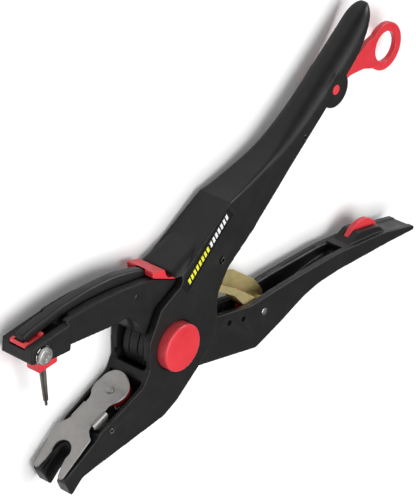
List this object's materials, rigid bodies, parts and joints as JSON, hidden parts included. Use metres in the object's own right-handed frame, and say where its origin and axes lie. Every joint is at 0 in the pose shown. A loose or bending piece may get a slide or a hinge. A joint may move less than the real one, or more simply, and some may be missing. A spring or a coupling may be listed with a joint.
{
  "type": "ear tag applicator",
  "caption": "Long-handled tagging pliers: a swing-away needle in the upper jaw closes on a forked spring clip over a slotted lower jaw; ring latch on the upper handle.",
  "frame": {"origin": "main pivot axis, on the outer face of the flush pivot bolt head that the tool lies on", "axes": "+Z along every hinge axis towards the red cap; +X roughly along the lower handle, -X the jaws; +Y towards the upper handle"},
  "size_m": [0.3312, 0.2048, 0.0352],
  "materials": {
    "black_nylon": "moulded satin",
    "red_plastic": "satin",
    "yellow_zinc_steel": "yellow passivated",
    "satin_stainless": "satin",
    "bright_steel": "bright",
    "dark_steel": "dark oxide",
    "bronze": "plain",
    "label_vinyl": "smooth"
  },
  "bodies": {
    "frame": {"main_frame": "black_nylon", "label_strip": "label_vinyl", "pivot_bolt": "bright_steel", "pivot_bush": "bronze", "pivot_nut": "bright_steel", "pivot_cap": "red_plastic", "thrust_washer_1": "bright_steel", "thrust_washer_2": "bright_steel", "trip_pin": "dark_steel", "spring_anchor_pin": "dark_steel", "jaw_return_spring": "bright_steel", "ring_pin": "red_plastic", "clip_pin": "bright_steel", "clip_spring": "bright_steel"},
    "lower_handle": {"lower_handle": "black_nylon", "latch_catch": "red_plastic", "link_pin": "bright_steel"},
    "trip_link": {"trip_link": "yellow_zinc_steel", "trip_block": "red_plastic"},
    "upper_jaw": {"upper_jaw": "black_nylon", "top_bar": "black_nylon", "jaw_pin": "dark_steel", "stop_saddle": "red_plastic", "nose_bolt": "bright_steel", "nose_washer": "bright_steel", "bar_shoe": "red_plastic"},
    "needle_carrier": {"needle_carrier": "red_plastic", "needle": "dark_steel"},
    "tag_clip": {"clip_plate": "satin_stainless", "clip_rivet": "bright_steel", "clip_button": "red_plastic"},
    "ring_latch": {"ring_latch": "red_plastic"}
  },
  "joints": [
    {"name": "lower_handle_pivot", "type": "hinge", "parent": "frame", "child": "lower_handle", "pos_m": [0, 0, 0.0148], "axis": [0, 0, 1], "range_deg": [0, 25], "stiffness_Nm_per_rad": 0.6, "springref_deg": -28.65},
    {"name": "upper_jaw_pivot", "type": "hinge", "parent": "frame", "child": "upper_jaw", "pos_m": [0, 0, 0.0148], "axis": [0, 0, 1], "range_deg": [0, 25]},
    {"name": "needle_carrier_swing", "type": "hinge", "parent": "upper_jaw", "child": "needle_carrier", "pos_m": [-0.099, 0.0377, 0.0148], "axis": [0, 0, 1], "range_deg": [-80, 0], "stiffness_Nm_per_rad": 0.004, "springref_deg": 20.05},
    {"name": "tag_clip_pivot", "type": "hinge", "parent": "frame", "child": "tag_clip", "pos_m": [-0.0515, -0.032, 0.0148], "axis": [0, 0, 1], "range_deg": [-4, 0], "stiffness_Nm_per_rad": 0.05, "springref_deg": 28.65, "deforming": ["clip_spring"]},
    {"name": "ring_latch_pivot", "type": "hinge", "parent": "frame", "child": "ring_latch", "pos_m": [0.1432, 0.1039, 0.0148], "axis": [0, 0, 1], "range_deg": [-40, 10]},
    {"name": "trip_link_pivot", "type": "hinge", "parent": "lower_handle", "child": "trip_link", "pos_m": [0.0816, -0.0166, 0.0148], "axis": [0, 0, 1], "range_deg": [0, 5], "stiffness_Nm_per_rad": 0.05, "springref_deg": -28.65}
  ],
  "couplings": [
    {"joint": "upper_jaw_pivot", "follows": "lower_handle_pivot", "ratio": 1}
  ]
}
